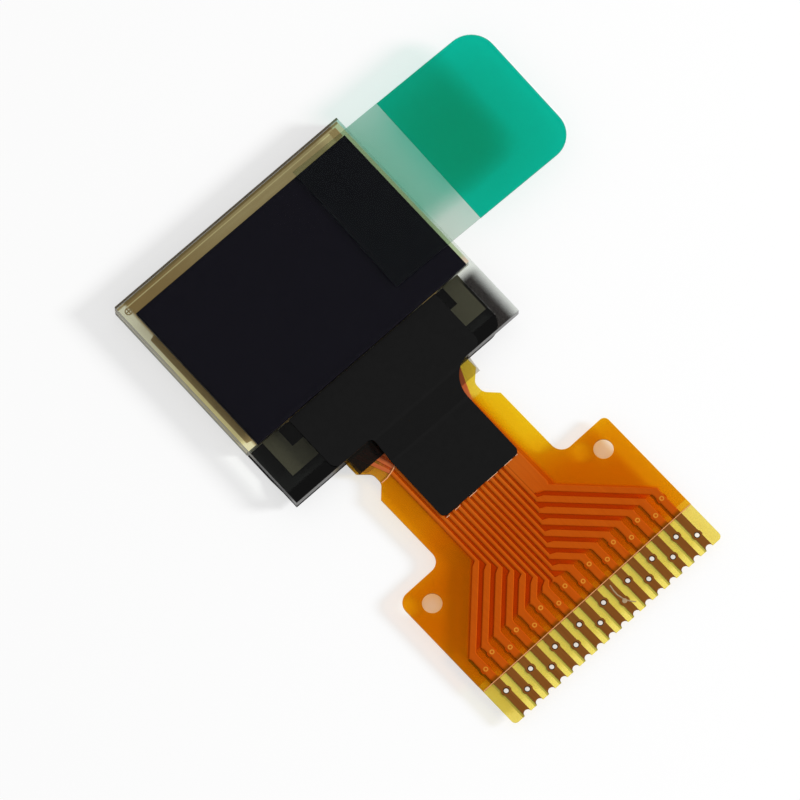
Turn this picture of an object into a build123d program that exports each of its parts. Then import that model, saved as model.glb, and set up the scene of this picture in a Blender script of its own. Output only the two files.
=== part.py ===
from build123d import *
import os
from math import cos, radians, sin, tan

# A 0.42 inch class chip-on-glass display module, lying on the back of its cap glass.
# X runs across the glass, Y up the glass, away from the tail, and Z towards the viewer.
# The origin is under the middle of the substrate glass, on the back of the cap glass.

# Glass panel
glass_width = 12.0
glass_height = 11.0
substrate_thickness = 0.50
cap_thickness = 0.50
ledge_depth = 3.0  # the cap stops this far above the lower edge of the substrate
seal_gap = 0.03
seal_width = 0.75
seal_corner = 0.4  # the bead cuts across its inner corners
pocket_depth = 0.25  # etched into the inner face of the cap
pocket_margin = 1.25
pocket_corner_radius = 0.6
desiccant_thickness = 0.15
desiccant_clearance = 0.4

# Display matrix on the inner face of the substrate
column_count = 72
row_count = 40
side_border = 1.40  # from the edge of the glass in to the active area
top_border = 1.66  # from the top of the glass down to the active area
bottom_border = 1.16  # from the end of the cap up to the active area
electrode_thickness = 0.010
organic_thickness = 0.008
organic_margin = 0.12
electrode_share = 0.75  # of a pixel's pitch that its electrode fills
row_end_gap = 0.02  # from the end of a row to the seal
row_track_inset = 0.25  # from the edge of the glass
row_track_width = 0.72
row_track_top_step = 0.24  # from the top of the active area to the outermost track
row_track_run = 0.15
row_track_rise = 0.30  # above the end of the cap, where the tracks turn to the chip
row_track_drop = 0.60  # how far they fall on the way in
column_landing = 0.12  # how far the columns reach in under the chip

# Front films
polarizer_side_margin = 0.37
polarizer_overhang = 0.18  # below the end of the cap
polarizer_thickness = 0.22
polarizer_shift = 0.06
polarizer_top_margin = 0.84
film_thickness = 0.05
film_inset = 0.05

# Pull tab
tab_width = 6.42
tab_rise = 0.61  # its middle above the middle of the polarizer
tab_reach = 6.70  # past the right edge of the glass
tab_hold = 3.0  # stuck on the protective film over this length
tab_clear_length = 1.48
tab_thickness = 0.05
tab_corner_radius = 1.15
tab_lean = -1.2  # degrees, as it was stuck on by hand

# Marks on the inner face of the ledge and in the upper corners
mark_bar_width = 0.82
mark_bar_height = 1.85
mark_foot_width = 0.58
mark_foot_height = 0.93
mark_inset = 0.73  # from the edge of the glass
mark_drop = 0.10  # below the end of the cap
target_radius = 0.17
target_line = 0.05
target_inset = 0.40
corner_mark_width = 0.36
corner_mark_height = 0.48

# Driver chip and its bond
chip_length = 6.60
chip_width = 0.80
chip_thickness = 0.30
chip_drop = 0.45  # below the end of the cap
bond_thickness = 0.012
chip_bond_margin = 0.10
chip_column_pitch = 0.062
chip_input_pitch = 0.34
chip_input_inset = 0.20  # how far the ledge tracks reach in under the chip
pad_end_gap = 0.13  # from the pads of the ledge to the glass edge

# Flexible tail, with stations measured down from the lower edge of the glass
base_thickness = 0.025
copper_thickness = 0.018
coverlay_thickness = 0.045
flex_shift = -0.07
flex_lean = 0.9  # degrees, as it was bonded a little askew
bond_length = 1.05
neck_width = 6.56
shoulder_station = 5.53
tail_end = 12.40
notch_start = 0.55
notch_end = 2.00
notch_floor_start = 1.00
notch_floor_end = 1.50
notch_depth = 0.49
notch_radius = 0.35
neck_fillet = 0.52
left_shoulder_radius = 0.50
right_shoulder_radius = 0.25
end_corner_radius = 0.20
tooling_radius = 0.41
tooling_inset = 0.99  # from the edge of the tail to the middle of the hole
tooling_station = 6.52

# Conductors and solder fingers
conductor_count = 16
bond_pitch = 0.37
bond_pad_width = 0.20
lane_pitch = 0.25
lane_width = 0.15
first_lane = -2.20
wide_lane_width = 0.76
wide_lane_gap = 0.10
lane_start = 1.45
fan_width = 0.28
fan_slant = 45  # degrees off the length of the tail
fan_taper = 0.12  # a lane widens into the fan, and the fan narrows to its finger, over this length
finger_pitch = 0.664
finger_margin = 0.70  # from the middle of the outermost fingers to the edge of the tail
finger_width = 0.33
finger_start = 9.18
ring_radius = 0.22
hole_radius = 0.10
plating = 0.02
upper_hole_station = 11.14
lower_hole_station = 11.66
upper_post_station = 9.60
lower_post_station = 9.95
rear_finger_width = 0.36
rear_finger_shift = -0.08  # the rear pattern lies this far off the front one
bite_radius = 0.17
clogged_finger = 10  # counted from the left, its plated hole is filled
front_coverlay_start = 1.45
front_coverlay_end = 10.57
rear_coverlay_end = 10.25

# Tapes and glue
tape_thickness = 0.06
front_tape_width = 7.90
front_tape_top_gap = 0.04
front_tape_neck_width = 4.10
front_tape_neck_shift = 0.09
front_tape_end = 4.30  # below the glass
front_tape_corner = 0.35
front_tape_left_root = 0.25
front_tape_right_root = 1.10
front_tape_end_corner = 0.25
drape_start = 0.10  # below the glass, where the tape turns down
drape_end = 1.20  # below the glass, where it lies flat on the tail
drape_radius = 0.40
rear_tape_right_inset = 0.70  # from the edge of the glass
rear_tape_top_gap = 0.05
rear_tape_corner = 0.80
rear_tape_lobe_end = 0.85
rear_tape_lobe_left = -3.10
rear_tape_lobe_right = 2.40
rear_tape_lobe_corner = 0.30
rear_drape_start = 1.40
rear_drape_end = 2.20
glue_length = 6.50
glue_reach = 0.70
glue_height = 0.40
glue_radius = 1.40

# Sides of the finest round shapes
fine_sides = 12  # rings, plated holes, bites and the ringed cross
post_sides = 6  # what passes through the base film, out of sight

# How close to a line a corner must lie to be picked for a fillet
on_line = 1e-6

# Heights that follow from the stack
cap_inner = cap_thickness
substrate_back = cap_thickness + seal_gap
substrate_front = substrate_back + substrate_thickness
polarizer_front = substrate_front + polarizer_thickness
film_front = polarizer_front + film_thickness
track_back = substrate_back - electrode_thickness
bond_back = track_back - bond_thickness
copper_back = bond_back - copper_thickness
base_back = copper_back - base_thickness
rear_copper_back = base_back - copper_thickness
rear_coverlay_back = base_back - coverlay_thickness
front_coverlay_front = copper_back + coverlay_thickness
chip_back = bond_back - chip_thickness

# Places that follow from the glass
glass_top = glass_height / 2
glass_bottom = -glass_height / 2
cap_bottom = glass_bottom + ledge_depth
cap_height = glass_height - ledge_depth
cap_middle = (glass_top + cap_bottom) / 2
chip_top = cap_bottom - chip_drop
chip_middle = chip_top - chip_width / 2
chip_bottom = chip_top - chip_width
polarizer_width = glass_width - 2 * polarizer_side_margin
polarizer_top = glass_top - polarizer_top_margin
polarizer_bottom = cap_bottom - polarizer_overhang
polarizer_height = polarizer_top - polarizer_bottom
polarizer_middle = (polarizer_top + polarizer_bottom) / 2
active_top = glass_top - top_border
active_bottom = cap_bottom + bottom_border
active_height = active_top - active_bottom
active_middle = (active_top + active_bottom) / 2
active_width = glass_width - 2 * side_border
column_pitch = active_width / column_count
row_pitch = active_height / row_count
organic_edge = active_width / 2 + organic_margin
row_end = glass_width / 2 - seal_width - row_end_gap
row_track_edge = glass_width / 2 - row_track_inset
row_track_inner = row_track_edge - row_track_width
row_track_turn = cap_bottom + row_track_rise

# Places that follow from the fingers
tail_width = (conductor_count - 1) * finger_pitch + 2 * finger_margin
tooling_spacing = tail_width - 2 * tooling_inset

os.makedirs("parts", exist_ok=True)


def save(part, label):
    part.label = label
    export_step(part, f"parts/{label}.step")


# Cap glass, with the etched pocket that keeps it clear of the display
with BuildPart() as cap_glass:
    with BuildSketch(Plane.XY):
        with Locations((0, cap_middle)):
            Rectangle(glass_width, cap_height)
    extrude(amount=cap_thickness)
    with BuildSketch(Plane.XY.offset(cap_inner)):
        with Locations((0, cap_middle)):
            RectangleRounded(
                glass_width - 2 * pocket_margin,
                cap_height - 2 * pocket_margin,
                pocket_corner_radius,
            )
    extrude(amount=-pocket_depth, mode=Mode.SUBTRACT)
save(cap_glass.part, "cap_glass")

# Desiccant sheet, stuck on the floor of the pocket
with BuildPart() as desiccant_sheet:
    with BuildSketch(Plane.XY.offset(cap_inner - pocket_depth)):
        with Locations((0, cap_middle)):
            Rectangle(
                glass_width - 2 * (pocket_margin + desiccant_clearance),
                cap_height - 2 * (pocket_margin + desiccant_clearance),
            )
    extrude(amount=desiccant_thickness)
save(desiccant_sheet.part, "desiccant_sheet")

# Substrate glass, scribed and broken to size
with BuildPart() as substrate_glass:
    with BuildSketch(Plane.XY.offset(substrate_back)):
        Rectangle(glass_width, glass_height)
    extrude(amount=substrate_thickness)
save(substrate_glass.part, "substrate_glass")


def column_outline(x, chip_x, width, chip_end_width):
    """One electrode that runs down the active area and narrows towards its chip bump."""
    half = width / 2
    chip_half = chip_end_width / 2
    with BuildLine() as edge:
        Polyline(
            (x - half, active_top),
            (x + half, active_top),
            (x + half, active_bottom),
            (chip_x + chip_half, chip_top - column_landing),
            (chip_x - chip_half, chip_top - column_landing),
            (x - half, active_bottom),
            close=True,
        )
    make_face(edge.edges())


# Anode columns, clear strips that run down under the seal to the chip
with BuildPart() as anode_columns:
    with BuildSketch(Plane.XY.offset(track_back)):
        for number in range(column_count):
            place = number - (column_count - 1) / 2
            column_outline(
                place * column_pitch,
                place * chip_column_pitch,
                column_pitch * electrode_share,
                chip_column_pitch * electrode_share,
            )
    extrude(amount=electrode_thickness)
save(anode_columns.part, "anode_columns")

# Organic layer, which gives the light where a column and a row cross
with BuildPart() as organic_layer:
    with BuildSketch(Plane.XY.offset(track_back - organic_thickness)):
        with Locations((0, active_middle)):
            Rectangle(2 * organic_edge, active_height + 2 * organic_margin)
    extrude(amount=organic_thickness)
save(organic_layer.part, "organic_layer")


# Cathode rows, metal strips across the back of the organic layer. They leave left and right in
# turn, and their ends lie on the landings of the row tracks.
landing_back = track_back - organic_thickness
with BuildPart() as cathode_rows:
    with BuildSketch(Plane.XY.offset(landing_back - electrode_thickness)):
        row_length = row_end + active_width / 2
        for number in range(row_count):
            sign = -1 if number % 2 == 0 else 1
            row = active_bottom + (number + 1 / 2) * row_pitch
            with Locations((sign * (row_end - row_length / 2), row)):
                Rectangle(row_length, row_pitch * electrode_share)
    extrude(amount=electrode_thickness)
save(cathode_rows.part, "cathode_rows")

# Row tracks, which come down each side in a bundle and turn to the chip, with a landing for the
# ends of the rows
with BuildPart() as row_tracks:
    with BuildSketch(Plane.XY.offset(track_back)):
        with BuildLine():
            Polyline(
                (-row_track_edge, active_top - row_track_top_step),
                (-row_track_inner, active_top),
                (-row_track_inner, row_track_turn + row_track_run),
                (-chip_length / 2 + row_track_run, row_track_turn + row_track_run - row_track_drop),
                (-chip_length / 2 + row_track_run, chip_middle),
                (-chip_length / 2, chip_middle),
                (-chip_length / 2, row_track_turn - row_track_drop),
                (-row_track_edge, row_track_turn),
                close=True,
            )
        make_face()
        mirror(about=Plane.YZ)
    extrude(amount=electrode_thickness)
    with BuildSketch(Plane.XY.offset(landing_back)):
        with Locations(((row_track_inner + row_end) / 2, active_middle)):
            Rectangle(row_end - row_track_inner, active_height)
        mirror(about=Plane.YZ)
    extrude(amount=organic_thickness)
save(row_tracks.part, "row_tracks")

# Corner marks for lining the glass up: a ringed cross on the left, a patch on the right
with BuildPart() as corner_marks:
    with BuildSketch(Plane.XY.offset(track_back)):
        with Locations((-glass_width / 2 + target_inset, glass_top - target_inset)):
            RegularPolygon(target_radius, fine_sides)
            RegularPolygon(target_radius - target_line, fine_sides, mode=Mode.SUBTRACT)
            Rectangle(2 * target_radius - target_line, target_line)
            Rectangle(target_line, 2 * target_radius - target_line)
        with Locations((glass_width / 2 - target_inset, glass_top - target_inset)):
            Rectangle(corner_mark_width, corner_mark_height)
    extrude(amount=electrode_thickness)
save(corner_marks.part, "corner_marks")

# Seal frame, a bead of sealant squeezed flat between the two glasses.
# It fills in round the row tracks and the corner marks, and the columns pass over its lower side.
with BuildPart() as seal_frame:
    with BuildSketch(Plane.XY.offset(cap_inner)):
        with Locations((0, cap_middle)):
            Rectangle(glass_width, cap_height)
    extrude(amount=seal_gap)
    with BuildSketch(Plane.XY.offset(cap_inner)) as opening:
        with Locations((0, cap_middle)):
            Rectangle(glass_width - 2 * seal_width, cap_height - 2 * seal_width)
        chamfer(opening.vertices(), seal_corner)
    extrude(amount=seal_gap, mode=Mode.SUBTRACT)
    with BuildSketch(Plane.XY.offset(track_back)):
        with Locations((0, cap_bottom)):
            Rectangle(active_width, 2 * seal_width)
    extrude(amount=electrode_thickness, mode=Mode.SUBTRACT)
    add([row_tracks.part, corner_marks.part], mode=Mode.SUBTRACT)
save(seal_frame.part, "seal_frame")

# Ledge marks, two L-shaped patches of metal on the inner face of the ledge
with BuildPart() as ledge_marks:
    with BuildSketch(Plane.XY.offset(track_back)):
        bar_outer = glass_width / 2 - mark_inset
        foot_inner = bar_outer - mark_bar_width - mark_foot_width
        mark_top = cap_bottom - mark_drop
        with BuildLine():
            Polyline(
                (foot_inner, mark_top - mark_bar_height),
                (bar_outer, mark_top - mark_bar_height),
                (bar_outer, mark_top),
                (bar_outer - mark_bar_width, mark_top),
                (bar_outer - mark_bar_width, mark_top - mark_bar_height + mark_foot_height),
                (foot_inner, mark_top - mark_bar_height + mark_foot_height),
                close=True,
            )
        make_face()
        mirror(about=Plane.YZ)
    extrude(amount=electrode_thickness)
save(ledge_marks.part, "ledge_marks")

# Polarizer on the front of the substrate
with BuildPart() as polarizer:
    with BuildSketch(Plane.XY.offset(substrate_front)):
        with Locations((polarizer_shift, polarizer_middle)):
            Rectangle(polarizer_width, polarizer_height)
    extrude(amount=polarizer_thickness)
save(polarizer.part, "polarizer")

# Protective film on the polarizer
with BuildPart() as protective_film:
    with BuildSketch(Plane.XY.offset(polarizer_front)):
        with Locations((polarizer_shift, polarizer_middle)):
            Rectangle(polarizer_width - 2 * film_inset, polarizer_height - 2 * film_inset)
    extrude(amount=film_thickness)
save(protective_film.part, "protective_film")


def tab_plane(height):
    """Plane at the glass's right edge, turned with the tab: X out along it, Y across it."""
    lean = radians(tab_lean)
    middle = polarizer_middle + tab_rise
    return Plane(origin=(glass_width / 2, middle, height), x_dir=(cos(lean), sin(lean), 0))


def tab_strip(start, height):
    """A strip of tab film from a station to its rounded free end."""
    with BuildPart() as strip:
        with BuildSketch(tab_plane(height)) as outline:
            with Locations(((start + tab_reach) / 2, 0)):
                Rectangle(tab_reach - start, tab_width)
            fillet(outline.vertices().group_by(Axis.X)[-1], tab_corner_radius)
        extrude(amount=tab_thickness)
    return strip.part


# Carrier tape of the pull tab, clear, stuck on the protective film
tab_tape = tab_strip(-tab_hold, film_front)
save(tab_tape, "tab_tape")

# Grip of the pull tab, green film laminated under the free end of the carrier tape
tab_grip = tab_strip(tab_clear_length, film_front - tab_thickness)
save(tab_grip, "tab_grip")

# Driver chip, bonded face up under the ledge
with BuildPart() as driver_chip:
    with BuildSketch(Plane.XY.offset(chip_back)):
        with Locations((0, chip_middle)):
            Rectangle(chip_length, chip_width)
    extrude(amount=chip_thickness)
save(driver_chip.part, "driver_chip")

# Chip bond, the conductive adhesive between the chip and the ledge
with BuildPart() as chip_bond:
    with BuildSketch(Plane.XY.offset(bond_back)):
        with Locations((0, chip_middle)):
            Rectangle(chip_length + 2 * chip_bond_margin, chip_width + 2 * chip_bond_margin)
    extrude(amount=bond_thickness)
save(chip_bond.part, "chip_bond")


def flex_plane(height):
    """Plane at the lower edge of the glass, turned with the tail: Y runs back up under the ledge."""
    lean = radians(flex_lean)
    return Plane(origin=(flex_shift, glass_bottom, height), x_dir=(cos(lean), sin(lean), 0))


def finger_place(number):
    return (number - (conductor_count - 1) / 2) * finger_pitch


def bond_place(number):
    return (number - (conductor_count - 1) / 2) * bond_pitch


def is_upper(number):
    """The plated holes are staggered: every other finger has its hole higher up."""
    return number % 2 == 0


def hole_station(number):
    return upper_hole_station if is_upper(number) else lower_hole_station


def post_station(number):
    return lower_post_station if is_upper(number) else upper_post_station


def bite(number):
    """The round bite that the last row of drilled holes leaves in the end of the tail."""
    with Locations((finger_place(number), -tail_end)):
        RegularPolygon(bite_radius, fine_sides, mode=Mode.SUBTRACT)


def via_outlines(number):
    """Outsides of the plated hole and of the post of a finger, in the base film."""
    finger = finger_place(number)
    with Locations((finger, -hole_station(number)), (finger, -post_station(number))):
        RegularPolygon(hole_radius + plating, post_sides, major_radius=False)


# Ledge tracks, from the chip's input bumps to the bond pads of the tail
with BuildPart() as ledge_tracks:
    with BuildSketch(Plane.XY.offset(track_back)):
        for number in range(conductor_count):
            chip_x = (number - (conductor_count - 1) / 2) * chip_input_pitch
            pad_x = flex_shift + bond_place(number)
            half = bond_pad_width / 2
            pad_top = glass_bottom + bond_length
            with BuildLine():
                Polyline(
                    (chip_x - half, chip_bottom + chip_input_inset),
                    (chip_x + half, chip_bottom + chip_input_inset),
                    (pad_x + half, pad_top),
                    (pad_x + half, glass_bottom + pad_end_gap),
                    (pad_x - half, glass_bottom + pad_end_gap),
                    (pad_x - half, pad_top),
                    close=True,
                )
            make_face()
    extrude(amount=electrode_thickness)
save(ledge_tracks.part, "ledge_tracks")


def flex_layer(back, thickness, start, end):
    """One film of the tail between two stations, with its notches, tooling holes and bitten end."""
    half_neck = neck_width / 2
    half_tail = tail_width / 2
    with BuildPart() as layer:
        with BuildSketch(flex_plane(back)) as outline:
            with BuildLine():
                Polyline(
                    (0, bond_length),
                    (half_neck, bond_length),
                    (half_neck, -notch_start),
                    (half_neck - notch_depth, -notch_floor_start),
                    (half_neck - notch_depth, -notch_floor_end),
                    (half_neck, -notch_end),
                    (half_neck, -shoulder_station),
                    (half_tail, -shoulder_station),
                    (half_tail, -tail_end),
                    (0, -tail_end),
                )
                mirror(about=Plane.YZ)
            make_face()
            corners = outline.vertices()
            notch_floor = half_neck - notch_depth
            fillet(corners.filter_by(lambda v: abs(abs(v.X) - notch_floor) < on_line), notch_radius)
            shoulders = outline.vertices().filter_by(lambda v: abs(v.Y + shoulder_station) < on_line)
            shoulders = shoulders.sort_by(Axis.X)
            fillet(shoulders[1:3], neck_fillet)
            shoulders = outline.vertices().filter_by(lambda v: abs(v.Y + shoulder_station) < on_line)
            fillet(shoulders.sort_by(Axis.X)[0], left_shoulder_radius)
            shoulders = outline.vertices().filter_by(lambda v: abs(v.Y + shoulder_station) < on_line)
            fillet(shoulders.sort_by(Axis.X)[-1], right_shoulder_radius)
            fillet(outline.vertices().group_by(Axis.Y)[0], end_corner_radius)
            for number in range(conductor_count):
                bite(number)
            with Locations((0, -tooling_station)):
                with GridLocations(tooling_spacing, 0, 2, 1):
                    Circle(tooling_radius, mode=Mode.SUBTRACT)
            with Locations((0, -(start + end) / 2)):
                Rectangle(2 * tail_width, end - start, mode=Mode.INTERSECT)
        extrude(amount=thickness)
    return layer.part


# Base film of the tail, pierced where the plated holes and posts join both sides
with BuildPart() as flex_base:
    add(flex_layer(copper_back - base_thickness, base_thickness, -bond_length, tail_end))
    with BuildSketch(flex_plane(base_back)):
        for number in range(conductor_count):
            via_outlines(number)
    extrude(amount=base_thickness, mode=Mode.SUBTRACT)
save(flex_base.part, "flex_base")


def lane_place(number):
    """Middle of a conductor's lane in the neck. The last lane is wide, for the supply."""
    if number < conductor_count - 1:
        return first_lane + number * lane_pitch
    last_edge = first_lane + (number - 1) * lane_pitch + lane_width / 2
    return last_edge + wide_lane_gap + wide_lane_width / 2


def front_outline(number):
    """Bond pad, lane, slanted fan stretch and finger of a conductor, in one outline."""
    lane = lane_place(number)
    finger = finger_place(number)
    shift = finger - lane
    fan_length = abs(shift) / tan(radians(fan_slant))
    fan_start = finger_start - fan_length
    run_half = (lane_width if number < conductor_count - 1 else wide_lane_width) / 2
    fan_half = fan_width / cos(radians(fan_slant)) / 2
    widening = min(fan_taper / fan_length, 0.5)
    stretches = [
        (bond_place(number), -bond_length, bond_pad_width / 2),
        (bond_place(number), 0, bond_pad_width / 2),
        (lane, lane_start, run_half),
        (lane, fan_start, run_half),
        (lane + shift * widening, fan_start + fan_length * widening, fan_half),
        (finger, finger_start, fan_half),
        (finger, finger_start + fan_taper, finger_width / 2),
        (finger, tail_end, finger_width / 2),
    ]
    left = [(x - half, -station) for x, station, half in stretches]
    right = [(x + half, -station) for x, station, half in reversed(stretches)]
    with BuildLine() as edge:
        Polyline(*left, *right, close=True)
    make_face(edge.edges())


def rings(x, number):
    """Copper rings round the plated hole and over the post of a finger, flat side outwards."""
    with Locations((x, -hole_station(number)), (x, -post_station(number))):
        RegularPolygon(ring_radius, fine_sides, rotation=180 / fine_sides)


def conductor_part(number):
    """Front lane, fan and finger, the post and plated hole, and the rear finger, in one piece."""
    finger = finger_place(number)
    rear = finger + rear_finger_shift
    with BuildPart() as conductor:
        with BuildSketch(flex_plane(copper_back)):
            front_outline(number)
            rings(finger, number)
            bite(number)
        extrude(amount=copper_thickness)
        with BuildSketch(flex_plane(rear_copper_back)):
            with Locations((rear, -(finger_start + tail_end) / 2)):
                Rectangle(rear_finger_width, tail_end - finger_start)
            rings(rear, number)
            bite(number)
        extrude(amount=copper_thickness)
        with BuildSketch(flex_plane(base_back)):
            via_outlines(number)
        extrude(amount=base_thickness)
        if number + 1 != clogged_finger:
            with BuildSketch(flex_plane(rear_copper_back)):
                with Locations((finger, -hole_station(number))):
                    RegularPolygon(hole_radius, fine_sides)
            extrude(amount=base_thickness + 2 * copper_thickness, mode=Mode.SUBTRACT)
    return conductor.part


conductors = [conductor_part(number) for number in range(conductor_count)]
for number, conductor in enumerate(conductors):
    save(conductor, f"conductor_{number + 1:02d}")

# Front coverlay, whose adhesive fills in round the copper
with BuildPart() as front_coverlay:
    add(flex_layer(copper_back, coverlay_thickness, front_coverlay_start, front_coverlay_end))
    add(conductors, mode=Mode.SUBTRACT)
save(front_coverlay.part, "front_coverlay")

# Rear coverlay, which reaches up under the ledge and stops before the rear fingers
with BuildPart() as rear_coverlay:
    add(flex_layer(rear_coverlay_back, coverlay_thickness, -bond_length, rear_coverlay_end))
    add(conductors, mode=Mode.SUBTRACT)
save(rear_coverlay.part, "rear_coverlay")

# Flex bond, the conductive adhesive between the tail and the ledge
with BuildPart() as flex_bond:
    with BuildSketch(flex_plane(bond_back)):
        with Locations((0, bond_length / 2)):
            Rectangle(conductor_count * bond_pitch, bond_length)
    extrude(amount=bond_thickness)
save(flex_bond.part, "flex_bond")

# Front tape: a black T that lies on the ledge and drapes over the glass edge onto the tail
drape_side = 2 * glass_width
with BuildPart() as front_tape:
    with BuildSketch(Plane.YZ) as side:
        with BuildLine():
            lower = FilletPolyline(
                (polarizer_bottom, substrate_front),
                (glass_bottom - drape_start, substrate_front),
                (glass_bottom - drape_end, front_coverlay_front),
                (glass_bottom - front_tape_end - front_tape_corner, front_coverlay_front),
                radius=drape_radius,
            )
            offset(lower, amount=tape_thickness, side=Side.RIGHT, closed=True)
        make_face()
    extrude(amount=drape_side, both=True)
    with BuildSketch(Plane.XY) as shape:
        bar_top = polarizer_bottom - front_tape_top_gap
        bar_middle = (bar_top + glass_bottom) / 2
        with Locations((0, bar_middle)):
            Rectangle(front_tape_width, bar_top - glass_bottom)
        with Locations((front_tape_neck_shift, glass_bottom - front_tape_end / 2)):
            Rectangle(front_tape_neck_width, front_tape_end)
        roots = shape.vertices().filter_by(lambda v: abs(v.Y - glass_bottom) < on_line)
        fillet(roots.sort_by(Axis.X)[1], front_tape_left_root)
        roots = shape.vertices().filter_by(lambda v: abs(v.Y - glass_bottom) < on_line)
        fillet(roots.sort_by(Axis.X)[-2], front_tape_right_root)
        roots = shape.vertices().filter_by(lambda v: abs(v.Y - glass_bottom) < on_line)
        fillet([roots.sort_by(Axis.X)[0], roots.sort_by(Axis.X)[-1]], front_tape_corner)
        fillet(shape.vertices().group_by(Axis.Y)[0], front_tape_end_corner)
    extrude(amount=polarizer_front, mode=Mode.INTERSECT)
save(front_tape.part, "front_tape")

# Rear tape: black tape across the back of the ledge, over the chip and the root of the tail
with BuildPart() as rear_tape:
    with BuildSketch(Plane.YZ) as rear_side:
        with BuildLine():
            upper = FilletPolyline(
                (cap_bottom, chip_back),
                (cap_bottom - rear_drape_start, chip_back),
                (cap_bottom - rear_drape_end, rear_coverlay_back),
                (glass_bottom - rear_tape_lobe_end - rear_tape_corner, rear_coverlay_back),
                radius=drape_radius,
            )
            offset(upper, amount=tape_thickness, side=Side.LEFT, closed=True)
        make_face()
    extrude(amount=drape_side, both=True)
    with BuildSketch(Plane.XY) as rear_shape:
        rear_top = cap_bottom - rear_tape_top_gap
        rear_left = -glass_width / 2
        rear_right = glass_width / 2 - rear_tape_right_inset
        with Locations(((rear_left + rear_right) / 2, (rear_top + glass_bottom) / 2)):
            Rectangle(rear_right - rear_left, rear_top - glass_bottom)
        fillet(rear_shape.vertices().group_by(Axis.Y)[0].sort_by(Axis.X)[-1], rear_tape_corner)
        with Locations(
            (
                (rear_tape_lobe_left + rear_tape_lobe_right) / 2,
                glass_bottom - rear_tape_lobe_end / 2,
            )
        ):
            Rectangle(rear_tape_lobe_right - rear_tape_lobe_left, rear_tape_lobe_end)
        fillet(rear_shape.vertices().group_by(Axis.Y)[0], rear_tape_lobe_corner)
    extrude(amount=substrate_back, mode=Mode.INTERSECT)
save(rear_tape.part, "rear_tape")

# Glue bead: clear resin run along the glass edge where the tail leaves it
with BuildPart() as glue_bead:
    with BuildSketch(Plane.YZ.offset(-glue_length / 2)):
        with BuildLine():
            foot = (glass_bottom - glue_reach, copper_back + copper_thickness)
            head = (glass_bottom, copper_back + copper_thickness + glue_height)
            heel = (glass_bottom, copper_back + copper_thickness)
            Line(foot, heel)
            Line(heel, head)
            RadiusArc(head, foot, glue_radius)
        make_face()
    extrude(amount=glue_length)
    add(flex_bond.part, mode=Mode.SUBTRACT)
save(glue_bead.part, "glue_bead")
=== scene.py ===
from math import cos, pi, radians, sin, tau

import bmesh
import bpy
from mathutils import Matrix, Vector


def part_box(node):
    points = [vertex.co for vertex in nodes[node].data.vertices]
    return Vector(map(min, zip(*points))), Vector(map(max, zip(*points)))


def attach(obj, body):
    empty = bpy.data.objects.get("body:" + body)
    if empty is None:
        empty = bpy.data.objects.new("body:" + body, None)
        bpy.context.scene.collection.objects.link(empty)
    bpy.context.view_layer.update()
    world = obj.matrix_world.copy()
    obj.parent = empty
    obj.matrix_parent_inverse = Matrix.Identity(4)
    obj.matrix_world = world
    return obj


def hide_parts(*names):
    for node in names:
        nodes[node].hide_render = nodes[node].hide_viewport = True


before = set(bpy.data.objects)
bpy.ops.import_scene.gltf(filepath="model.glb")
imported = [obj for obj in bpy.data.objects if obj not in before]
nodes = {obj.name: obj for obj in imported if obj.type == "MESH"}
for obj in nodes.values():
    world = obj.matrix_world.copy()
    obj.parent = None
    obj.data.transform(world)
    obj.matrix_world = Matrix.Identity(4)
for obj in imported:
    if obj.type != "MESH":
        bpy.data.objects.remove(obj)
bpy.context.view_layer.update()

# Camera: it looks down on the display from the lower left, about 16 degrees off the vertical,
# turned so that the glass stands on its corner in the picture, as it lay on the table.
mm = 0.001
look_at = Vector((0.035, -4.967, 0.5)) * mm
camera_distance = 308.25 * mm
camera_azimuth = radians(227.98)
camera_elevation = radians(73.79)
picture_width = 36.0
focal_length = 345.6
nearest_seen = 10 * mm
farthest_seen = 10.0


def direction(azimuth, elevation):
    """A unit vector that points at an azimuth from +X and an elevation above the table."""
    return Vector((cos(elevation) * cos(azimuth), cos(elevation) * sin(azimuth), sin(elevation)))


towards_camera = direction(camera_azimuth, camera_elevation)
camera_data = bpy.data.cameras.new("camera")
camera_data.sensor_width = picture_width
camera_data.lens = focal_length
camera_data.clip_start = nearest_seen
camera_data.clip_end = farthest_seen
camera = bpy.data.objects.new("camera", camera_data)
camera.location = look_at + towards_camera * camera_distance
camera.rotation_euler = (-towards_camera).to_track_quat("-Z", "Y").to_euler()
bpy.context.scene.collection.objects.link(camera)
bpy.context.scene.camera = camera
bpy.context.scene.view_settings.view_transform = "Standard"

# Soft box: a round lamp stands low on the right of the picture, and the white room fills in the
# rest. Together they light a level surface to the value that its colour is written as. Shiny faces
# don't mirror the soft box, so that it bleaches them in no view.
box_azimuth = radians(-41.8)
box_elevation = radians(27.0)
box_distance = 0.40
box_width = 0.095
box_share = 0.46  # of the light on a level surface

towards_box = direction(box_azimuth, box_elevation)
box_data = bpy.data.lights.new("soft_box", "AREA")
box_data.shape = "DISK"
box_data.size = box_width
box_data.energy = box_share * pi**2 * box_distance**2 / sin(box_elevation)
soft_box = bpy.data.objects.new("soft_box", box_data)
soft_box.location = look_at + towards_box * box_distance
soft_box.rotation_euler = (-towards_box).to_track_quat("-Z", "Y").to_euler()
soft_box.visible_glossy = False
bpy.context.scene.collection.objects.link(soft_box)


def linear(code):
    """A hex colour as written for a screen, as linear values with alpha."""
    parts = [int(code[place : place + 2], 16) / 255 for place in (1, 3, 5)]
    return (
        *(part / 12.92 if part <= 0.04045 else ((part + 0.055) / 1.055) ** 2.4 for part in parts),
        1.0,
    )


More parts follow.
